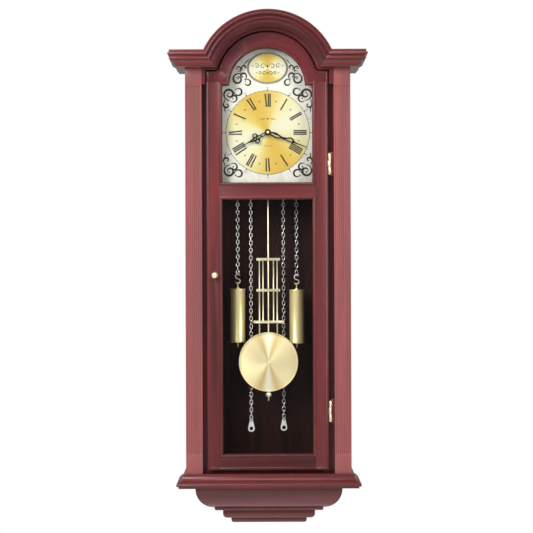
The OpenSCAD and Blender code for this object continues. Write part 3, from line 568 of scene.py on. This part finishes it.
def ribbon(bm, line, widths, y_front, thickness):
    """A flat stroke along points [(x, z), ...] with a width at each point."""
    left, right = [], []
    for i, (x, z) in enumerate(line):
        x0, z0 = line[max(i - 1, 0)]
        x1, z1 = line[min(i + 1, len(line) - 1)]
        along = Vector((x1 - x0, z1 - z0)).normalized()
        half = widths[i] / 2
        left.append((x - along.y * half, z + along.x * half))
        right.append((x + along.y * half, z - along.x * half))
    y_back = y_front + thickness
    rows = [[bm.verts.new((x, y, z)) for x, z in side]
            for side, y in ((left, y_front), (right, y_front), (right, y_back), (left, y_back))]
    for a, b in zip(rows, rows[1:] + rows[:1]):
        for i in range(len(line) - 1):
            bm.faces.new((a[i], a[i + 1], b[i + 1], b[i]))
    for end in (0, -1):
        bm.faces.new([row[end] for row in rows])


# ---------------------------------------------------------------- the dial's print

PLATE_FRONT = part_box("dial_plate")[0].y
INK = 0.00010             # one coat of paint or ink
PRINT_FRONT = PLATE_FRONT - 2.2 * INK
PRINT = 2.1 * INK         # the print's thickness, over the gilt
SCROLL_WEIGHT = 1.55      # how much bolder the curls are than their stated widths
GILT_R = 78.7


def dial_point(x_mm, z_mm):
    """A point of the dial, in millimetres from its centre, as (x, z) in metres."""
    return x_mm * MM, high(DIAL_H + z_mm)


def radial(clock_deg, across, out):
    """A point at a distance out along a clock direction, moved clockwise by across, in millimetres."""
    a = math.radians(clock_deg)
    return (out * math.sin(a) + across * math.cos(a), out * math.cos(a) - across * math.sin(a))


def spiral(centre, r0, r1, a0, a1, w0, w1, flip=(1, 1)):
    """A curling stroke: its points in metres and its widths, thickest in the middle."""
    steps = max(10, int(abs(a1 - a0) / 9))
    points, widths = [], []
    for i in range(steps + 1):
        t = i / steps
        a, r = math.radians(a0 + (a1 - a0) * t), r0 + (r1 - r0) * t
        x, z = centre[0] + r * math.cos(a), centre[1] + r * math.sin(a)
        points.append(dial_point(x * flip[0], z * flip[1]))
        widths.append(SCROLL_WEIGHT * (w0 + (w1 - w0) * math.sin(math.pi * min(1.0, t * 1.05))) * MM)
    return points, widths


def oval(centre_z, half_wide, half_high, count):
    """An ellipse's points on the dial; sizes in millimetres."""
    return [dial_point(half_wide * math.cos(2 * math.pi * i / count),
                       centre_z + half_high * math.sin(2 * math.pi * i / count)) for i in range(count)]


def blob(bm, x_mm, z_mm, r_mm, long=1.0, turn=0.0):
    """A printed spot, round or drawn out by long and turned."""
    outline = []
    for i in range(20):
        a = 2 * math.pi * i / 20
        u, v = r_mm * long * math.cos(a), r_mm * math.sin(a)
        x = x_mm + u * math.cos(turn) - v * math.sin(turn)
        z = z_mm + u * math.sin(turn) + v * math.cos(turn)
        outline.append(dial_point(x, z))
    slab(bm, outline, PRINT_FRONT, PRINT)


def print_line(bm, line, widths):
    """A printed stroke along points in metres."""
    ribbon(bm, line, widths, PRINT_FRONT, PRINT)


# the gilt centre, then its rim with the minute dots and ticks
bm = bmesh.new()
slab(bm, oval(0, GILT_R, GILT_R, 180), PLATE_FRONT - INK, INK * 0.9)
piece("dial_gilt_centre", bm, "gold", "case", smooth=False)

bm = bmesh.new()
annulus(bm, 0.0790, 0.0783, PRINT_FRONT, PRINT, 180)
for minute in range(60):
    a = 6 * minute
    if minute % 5 == 0:
        u, v = radial(a, 0, 80.2)
        blob(bm, u, v, 1.15, 1.25, math.radians(90 - a))
    else:
        line = [dial_point(*radial(a, 0, 78.2)), dial_point(*radial(a, 0, 80.4))]
        print_line(bm, line, [0.0005, 0.0005])
piece("dial_minute_track", bm, "ink", "case", smooth=False)

# small minute numbers around the track, drawn as single-line figures on a grid one unit wide and two high
FIGURES = {
    "0": [[(0.5, 2), (0.05, 1.5), (0.05, 0.5), (0.5, 0), (0.95, 0.5), (0.95, 1.5), (0.5, 2)]],
    "1": [[(0.2, 1.6), (0.55, 2), (0.55, 0)]],
    "2": [[(0.05, 1.55), (0.5, 2), (0.95, 1.5), (0.05, 0), (0.95, 0)]],
    "3": [[(0.1, 1.75), (0.5, 2), (0.9, 1.55), (0.45, 1.08), (0.95, 0.5), (0.5, 0), (0.05, 0.3)]],
    "4": [[(0.75, 0), (0.75, 2), (0.05, 0.6), (1.0, 0.6)]],
    "5": [[(0.9, 2), (0.2, 2), (0.12, 1.15), (0.6, 1.25), (0.95, 0.65), (0.5, 0), (0.05, 0.25)]],
    "6": [[(0.85, 1.9), (0.3, 1.5), (0.05, 0.6), (0.5, 0), (0.95, 0.5), (0.5, 1.05), (0.1, 0.7)]],
}
bm = bmesh.new()
for hour in range(1, 13):
    text = str(5 * hour)
    for place, figure in enumerate(text):
        shift = (place - len(text) / 2) * 2.3 + 0.3
        for stroke in FIGURES[figure]:
            line = [dial_point(*radial(30 * hour, shift + 1.7 * x, 82.6 + 1.75 * y)) for x, y in stroke]
            print_line(bm, line, [0.0004] * len(line))
piece("dial_minute_numbers", bm, "soft_ink", "case", smooth=False)

# Roman hour numerals, their feet towards the centre
FOOT, HEAD = 48.6, 73.0
NUMERALS = {
    1: ["I"], 2: ["I", "I"], 3: ["I", "I", "I"], 4: ["I", "I", "I", "I"], 5: ["V"], 6: ["V", "I"],
    7: ["V", "I", "I"], 8: ["V", "I", "I", "I"], 9: ["I", "X"], 10: ["X"], 11: ["X", "I"], 12: ["X", "I", "I"],
}
WIDTHS = {"I": 3.3, "V": 6.2, "X": 6.0}


def stroke(bm, hour, foot, head, width):
    """One stroke of a numeral with a short serif at each end; foot and head are its places across it."""
    print_line(bm, [dial_point(*radial(30 * hour, foot, FOOT)), dial_point(*radial(30 * hour, head, HEAD))],
               [width * MM] * 2)
    for across, out, inward in ((foot, FOOT, 0.25), (head, HEAD, -0.25)):
        ribbon(bm, [dial_point(*radial(30 * hour, across - width / 2 - 0.75, out + inward)),
                    dial_point(*radial(30 * hour, across + width / 2 + 0.75, out + inward))],
               [0.0005] * 2, PRINT_FRONT - 0.1 * INK, PRINT)


bm = bmesh.new()
for hour, letters in NUMERALS.items():
    total = sum(WIDTHS[c] for c in letters)
    at = -total / 2
    for letter in letters:
        mid = at + WIDTHS[letter] / 2
        if letter == "I":
            stroke(bm, hour, mid, mid, 2.45)
        elif letter == "V":
            stroke(bm, hour, mid + 0.2, mid - 1.5, 2.5)
            stroke(bm, hour, mid + 0.2, mid + 2.1, 0.35)
        else:
            stroke(bm, hour, mid + 1.6, mid - 1.6, 2.5)
            stroke(bm, hour, mid - 1.8, mid + 1.8, 0.35)
        at += WIDTHS[letter]
piece("dial_hour_numerals", bm, "ink", "case", smooth=False)

# small three-leafed marks at the half hours
bm = bmesh.new()
for hour in range(12):
    a = 30 * hour + 15
    for across, out, long in ((0, 61.6, 1.9), (-1.0, 60.0, 1.2), (1.0, 60.0, 1.2)):
        u, v = radial(a, across, out)
        blob(bm, u, v, 0.62, long, math.radians(90 - a) + across * -0.6)
    print_line(bm, [dial_point(*radial(a, 0, 58.0)), dial_point(*radial(a, 0, 61.0))], [0.0003, 0.0005])
piece("dial_half_hour_marks", bm, "soft_ink", "case", smooth=False)

# scrollwork: curls as (centre, first radius, last radius, first angle, last angle, thin, thick) in
# millimetres and degrees, and spots as (x, z, radius), both from the dial's centre
CORNER_CURLS = [
    ((-72.0, 72.3), 11.8, 3.2, -84, -560, 0.8, 2.7),
    ((-64.0, 65.2), 8.4, 2.4, -130, 190, 0.6, 2.2),
    ((-55.3, 77.2), 7.8, 5.6, 178, 515, 0.6, 2.3),
    ((-77.2, 52.2), 7.2, 2.6, 112, 400, 0.6, 2.2),
]
CORNER_SPOTS = [(-72.6, 74.6, 1.5), (-64.8, 64.0, 1.3), (-61.0, 80.4, 1.3), (-75.8, 53.2, 1.2),
                (-80.6, 44.6, 1.3)]
ARCH_CURLS = [
    ((-55.6, 100.6), 11.2, 3.4, 40, 500, 0.7, 2.3),
    ((-46.3, 106.6), 7.6, 2.6, -70, 262, 0.6, 2.2),
    ((-37.8, 94.0), 6.4, 4.6, 128, -186, 0.6, 2.1),
    ((-55.0, 120.6), 5.4, 2.4, -110, 230, 0.5, 1.6),
    ((-43.8, 122.4), 5.3, 2.4, 250, -60, 0.5, 1.8),
]
ARCH_SPOTS = [(-55.0, 101.6, 1.4), (-46.8, 105.2, 1.3), (-41.6, 97.0, 1.2), (-55.2, 119.8, 1.0),
              (-43.0, 122.6, 1.0)]


def leaf(bm, x0, z0, x1, z1, width, flip):
    """A pointed leaf from one point to another."""
    points, widths = [], []
    for i in range(9):
        t = i / 8
        points.append(dial_point((x0 + (x1 - x0) * t) * flip[0], (z0 + (z1 - z0) * t) * flip[1]))
        widths.append((0.25 + width * math.sin(math.pi * t)) * MM)
    print_line(bm, points, widths)


def curls_and_spots(bm, curls, spots, flip):
    for *shape, thin, thick in curls:
        print_line(bm, *spiral(*shape, thin, thick, flip))
    for x, z, r in spots:
        blob(bm, x * flip[0], z * flip[1], r)


bm = bmesh.new()
for flip in ((1, 1), (-1, 1), (1, -1), (-1, -1)):
    curls_and_spots(bm, CORNER_CURLS, CORNER_SPOTS, flip)
    leaf(bm, -81.6, 49.0, -79.6, 37.0, 1.7, flip)
    leaf(bm, -81.4, 64.0, -81.8, 56.0, 1.4, flip)
for side in (1, -1):
    curls_and_spots(bm, ARCH_CURLS, ARCH_SPOTS, (side, 1))
    leaf(bm, -44.5, 127.2, -34.0, 139.4, 1.7, (side, 1))
    leaf(bm, -51.8, 111.8, -48.6, 119.0, 1.2, (side, 1))
piece("dial_scrollwork", bm, "ink", "case", smooth=False)

# oval cartouche in the arch: a gold field, a rope border and plain curls
ROPE_WIDE, ROPE_HIGH = 35.2, 26.7     # the rope's inner half width and half height
ROPE_COUNT = 150
bm = bmesh.new()
slab(bm, oval(CARTOUCHE_Z, ROPE_WIDE + 0.2, ROPE_HIGH + 0.2, 120), PLATE_FRONT - INK, INK * 0.9)
piece("dial_cartouche_field", bm, "cartouche_gold", "case", smooth=False)

bm = bmesh.new()
for i in range(ROPE_COUNT):
    a = 2 * math.pi * i / ROPE_COUNT
    lean = 2 * math.pi / ROPE_COUNT * 1.9
    line = [dial_point((ROPE_WIDE + 3.4 * t) * math.cos(a + lean * t),
                       CARTOUCHE_Z + (ROPE_HIGH + 3.4 * t) * math.sin(a + lean * t))
            for t in (0.0, 0.33, 0.67, 1.0)]
    print_line(bm, line, [0.0004, 0.0009, 0.0009, 0.0004])
for r in (0.0, 3.5):
    line = oval(CARTOUCHE_Z, ROPE_WIDE + r, ROPE_HIGH + r, ROPE_COUNT)
    print_line(bm, line + line[:1], [0.0004] * (ROPE_COUNT + 1))
piece("dial_cartouche_rope", bm, "rope_ink", "case", smooth=False)

bm = bmesh.new()
for z, size, spot in ((CARTOUCHE_Z + 3.4, 1.0, 1.5), (CARTOUCHE_Z - 9.6, 0.72, 1.1)):
    for side in (1, -1):
        for x, lift, r0, r1, a0, a1 in ((-8.6, 0, 5.6, 1.4, -20, 420), (-20.0, 0.8, 4.6, 1.2, 160, -250)):
            centre = (x * size, z + lift * size)
            print_line(bm, *spiral(centre, r0 * size, r1 * size, a0, a1, 0.25, 0.8, (side, 1)))
        leaf(bm, -25.0 * size, z, -31.0 * size, z + 1.5, 0.8, (side, 1))
    blob(bm, 0, z, spot, 1.7, math.radians(90))
piece("dial_cartouche_flourish", bm, "ink", "case", smooth=False)

# a lozenge between two tapered lines on the gilt centre, above and below the hands
bm = bmesh.new()
for z, size in ((25.6, 1.0), (-25.0, 0.6)):
    for side in (1, -1):
        line = [dial_point(side * size * u, z + 0.5 * size * math.sin(u / 2.6))
                for u in (3.6, 5.5, 7.5, 9.5, 11.5, 13.5, 15.5)]
        swell = [0.0006 * size, 0.0010 * size, 0.0012 * size, 0.0010 * size, 0.0006 * size]
        print_line(bm, line, [0.0002, *swell, 0.0002])
    blob(bm, 0, z, 1.2 * size, 1.6, math.radians(90))
piece("dial_centre_flourishes", bm, "ink", "case", smooth=False)

# ---------------------------------------------------------------- chains and hooks

CHAIN_Y = -0.048
PITCH = 7.3               # of two neighbouring links, in millimetres
WIRE = 0.00062
LINK_HALF_WIDE = 0.0026
TOP_GAP, LOW_GAP = 3.4, 3.2           # from the links to the pivot and to the last ring's height
LEAN = 0.10               # how far a link may turn from straight, in radians
HOOK_BEND = 4.45          # of the wire's middle, in millimetres
HOOK_WIRE = 0.0009
HOOK_STEPS = 28


def link_ring(bm, centre, turned, half_long, half_wide, lean=0.0):
    """One closed link; turned links show their edge to the front."""
    steps, sides = 18, 8
    straight = half_long - half_wide
    points = []
    for i in range(steps):
        a = 2 * math.pi * i / steps
        u, v = half_wide * math.cos(a), half_wide * math.sin(a)
        if abs(math.sin(a)) > 1e-6:
            v += math.copysign(straight, v)
        w, d = u * math.cos(lean), u * math.sin(lean)
        points.append(Vector(centre) + Vector((d, w, v) if turned else (w, d, v)))
    side_axis = Vector((1, 0, 0)) if turned else Vector((0, 1, 0))
    rings = []
    for i, p in enumerate(points):
        along = (points[(i + 1) % steps] - points[i - 1]).normalized()
        out = along.cross(side_axis).normalized()
        rings.append([bm.verts.new(p + out * math.cos(2 * math.pi * k / sides) * WIRE
                                   + side_axis * math.sin(2 * math.pi * k / sides) * WIRE) for k in range(sides)])
    for a, b in zip(rings, rings[1:] + rings[:1]):
        for k in range(sides):
            bm.faces.new((a[k], a[(k + 1) % sides], b[(k + 1) % sides], b[k]))


def linked_chain(name, node, body, x_mm, low_h):
    """Links from the ring at the rail to the ring at low_h, each standing at a right angle to the next."""
    length = CHAIN_PIVOT_H - TOP_GAP - (low_h + LOW_GAP)
    count = 2 * round(length / PITCH / 2)
    pitch = length / count
    bm = bmesh.new()
    for i in range(count):
        z = high(CHAIN_PIVOT_H - TOP_GAP - pitch * (i + 0.5))
        link_ring(bm, (x_mm * MM, CHAIN_Y, z), i % 2 == 0, (pitch / 2) * MM + WIRE * 0.9, LINK_HALF_WIDE,
                  rng.uniform(-LEAN, LEAN))
    link_ring(bm, (x_mm * MM, CHAIN_Y, high(CHAIN_PIVOT_H - 1.4)), False, 0.0034, 0.0028)
    link_ring(bm, (x_mm * MM, CHAIN_Y, high(low_h + 2.2)), True, 0.0032, 0.0027)
    made = piece(name, bm, "steel", body)
    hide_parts(node)


def hook_arc(x_mm, h_mm, first_deg, turn_deg):
    """An arc of the hook's wire, a step at a time."""
    arc = []
    for i in range(HOOK_STEPS + 1):
        a = math.radians(first_deg + turn_deg * i / HOOK_STEPS)
        arc.append((x_mm * MM + HOOK_BEND * MM * math.cos(a), CHAIN_Y,
                    high(h_mm) + HOOK_BEND * MM * math.sin(a)))
    return arc


def wire_hook(name, body, x_mm, h_mm):
    """The S-shaped wire between a chain and its weight, its ends tapered."""
    line = hook_arc(x_mm, h_mm, 200, 250) + hook_arc(x_mm, h_mm + 2 * HOOK_BEND, 270, -250)[1:]
    radii = [HOOK_WIRE * min(1.0, 0.55 + 0.15 * min(i, len(line) - 1 - i)) for i in range(len(line))]
    bm = bmesh.new()
    sweep(bm, line, radii, 12)
    piece(name, bm, "tag_steel", body)


# sides of the clock with x in millimetres, and the height of the hook's lower bend or of the tag's joint
for side, x_mm, hook_h in (("left", -58, 461.8), ("right", 54, 459.8)):
    linked_chain(side + "_weight_chain_links", side + "_weight_chain", side + "_weight", x_mm,
                 hook_h + 3 * HOOK_BEND - 2.5)
    wire_hook(side + "_weight_hook", side + "_weight", x_mm, hook_h)
for side, x_mm, tag_h in (("left", -33, 195.6), ("right", 29, 197.4)):
    linked_chain(side + "_pull_chain_links", side + "_pull_chain", side + "_pull_chain", x_mm, tag_h)

# ---------------------------------------------------------------- the hands

MINUTE_HAND_FRONT = -0.0956
HOUR_HAND_FRONT = -0.0934
HAND_THICK = 0.0010
HAND_WEIGHT = 1.6         # how much bolder the strokes are than their stated widths
LOOP_WEIGHT = 1.35        # and the loops


def hand_point(clock_deg, u, v):
    """A point on a hand: u to its clockwise side and v along it, in millimetres, as (x, z) in metres."""
    a = math.radians(clock_deg)
    return dial_point(v * math.sin(a) + u * math.cos(a), v * math.cos(a) - u * math.sin(a))


def curve_through(points, per=8):
    """A smooth line through points [(u, v, width), ...]."""
    out = []
    for i in range(len(points) - 1):
        p0, p1, p2, p3 = (Vector(points[min(max(k, 0), len(points) - 1)]) for k in (i - 1, i, i + 1, i + 2))
        for k in range(per):
            t = k / per
            out.append(0.5 * ((2 * p1) + (p2 - p0) * t + (2 * p0 - 5 * p1 + 4 * p2 - p3) * t * t
                              + (3 * p1 - p0 - 3 * p2 + p3) * t ** 3))
    out.append(Vector(points[-1]))
    return out


def hand_ring(clock_deg, u, v, wide, long, steps, count):
    """Points around an oval on a hand, given by its centre, half width and half length."""
    return [hand_point(clock_deg, u + wide * math.sin(2 * math.pi * i / steps),
                       v + long * math.cos(2 * math.pi * i / steps)) for i in range(count)]


def cast_hand(name, node, body, clock_deg, y_front, strokes, loops, knots, hub):
    """A pierced hand with a round hub.

    Strokes are lines of (u, v, width), loops are (u, v, half width, half length, wire) and knots are
    (u, v, half width, half length). Each lies a hair in front of or behind the last, so no faces coincide.
    """
    bm = bmesh.new()
    for number, line in enumerate(strokes):
        pts = curve_through(line)
        ribbon(bm, [hand_point(clock_deg, p.x, p.y) for p in pts],
               [(0.35 + HAND_WEIGHT * p.z) * MM for p in pts],
               y_front + 0.00002 * number, HAND_THICK - 0.00004 * number)
    for number, (u, v, wide, long, wire) in enumerate(loops):
        ribbon(bm, hand_ring(clock_deg, u, v, wide, long, 40, 41), [LOOP_WEIGHT * wire * MM] * 41,
               y_front + 0.00001 + 0.00002 * number, HAND_THICK - 0.00005)
    for number, (u, v, wide, long) in enumerate(knots):
        slab(bm, hand_ring(clock_deg, u, v, wide, long, 24, 24), y_front - 0.00003 - 0.00001 * number,
             HAND_THICK - 0.00005)
    annulus(bm, hub * MM, 0.0020, y_front, HAND_THICK, 48)
    made = piece(name, bm, "hand_black", body, smooth=False)
    bevel = made.modifiers.new("bevel", "BEVEL")
    bevel.width, bevel.segments, bevel.limit_method = 0.00012, 2, "ANGLE"
    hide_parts(node)


cast_hand(
    "minute_hand_blade", "minute_hand", "minute_hand", 111, MINUTE_HAND_FRONT,
    [
        [(-1.5, 4.5, 1.5), (-2.8, 9, 1.2), (-3.0, 14.5, 2.4), (-2.4, 20, 1.7), (-1.0, 26, 1.6),
         (0.0, 32, 2.0), (-1.6, 36.5, 1.5), (-4.2, 41.5, 1.3), (-5.0, 45.5, 1.6), (-3.4, 49.5, 1.6),
         (0.2, 52, 2.2)],
        [(1.2, 4.5, 1.2), (3.0, 10, 1.1), (3.9, 16.5, 1.5), (3.1, 22, 1.3), (1.2, 27.5, 1.2), (0.2, 32, 1.4)],
        [(0.0, 32, 1.5), (1.2, 38, 1.0), (1.7, 44, 1.0), (1.2, 49, 1.2), (0.2, 52, 1.8)],
        [(0.2, 50, 2.2), (0.0, 56, 1.2), (0.0, 66, 0.85), (0.0, 78.8, 0.4)],
    ],
    [],
    [(-3.0, 14.8, 1.8, 2.3), (0.0, 32.6, 2.3, 1.7), (0.0, 30.4, 1.1, 3.6), (0.2, 51.6, 1.9, 2.3),
     (-2.3, 33.6, 1.2, 0.8), (2.1, 31.4, 1.2, 0.8)],
    5.9)
cast_hand(
    "hour_hand_blade", "hour_hand", "hour_hand", 242, HOUR_HAND_FRONT,
    [
        [(0.0, 32.5, 2.0), (0.0, 36, 1.9), (0.0, 42, 1.0), (0.0, 53.8, 0.4)],
        [(0.0, 28.5, 1.4), (2.2, 31.0, 1.3), (0.0, 35, 1.6)],
        [(0.0, 28.5, 1.4), (-2.2, 31.0, 1.3), (0.0, 35, 1.6)],
        [(2.0, 21.0, 1.3), (3.4, 20.2, 1.2), (5.6, 20.4, 1.3)],
        [(-2.0, 21.0, 1.3), (-3.4, 20.2, 1.2), (-5.6, 20.4, 1.3)],
    ],
    [(0.0, 9.8, 2.4, 4.6, 1.4), (0.0, 19.0, 2.7, 4.9, 1.4), (5.9, 24.6, 3.4, 3.9, 1.5),
     (-5.9, 24.6, 3.4, 3.9, 1.5), (0.0, 26.6, 2.2, 3.0, 1.3)],
    [(0.0, 34.4, 1.9, 2.0), (0.0, 14.4, 1.5, 1.0), (0.0, 23.6, 1.6, 1.0), (3.0, 28.2, 1.2, 1.2),
     (-3.0, 28.2, 1.2, 1.2)],
    5.5)

# ---------------------------------------------------------------- beads in the door's shoulders

DOOR_X = -1               # the door's middle, and in millimetres as the next ones
SHOULDER_X = 98.6
SHOULDER_H = 863.7
SHOULDER_R = 12.0
BEAD_Y = -0.1124
BEAD_R = 0.00295
BEAD_STEPS = 14
for side, name in ((-1, "left"), (1, "right")):
    bm = bmesh.new()
    line = []
    for i in range(BEAD_STEPS + 1):
        a = math.radians(194.5 + 77.0 * i / BEAD_STEPS)
        line.append(((DOOR_X + side * (SHOULDER_X + SHOULDER_R * math.cos(a))) * MM, BEAD_Y,
                     high(SHOULDER_H + SHOULDER_R * math.sin(a))))
    sweep(bm, line, [BEAD_R] * len(line), 20)
    piece("door_shoulder_bead_" + name, bm, "arch_wood", "door")

# ---------------------------------------------------------------- the floor below the hanging clock

FLOOR_Z = -1.25
FLOOR_HALF = 1.4          # it ends before it would show in the camera's view
mesh = bpy.data.meshes.new("floor")
corners = [(x * FLOOR_HALF, y * FLOOR_HALF, FLOOR_Z) for x, y in ((-1, -1), (1, -1), (1, 1), (-1, 1))]
mesh.from_pydata(corners, [], [(0, 1, 2, 3)])
mesh.materials.append(MATERIALS["backdrop"])
floor = bpy.data.objects.new("floor", mesh)
bpy.context.scene.collection.objects.link(floor)
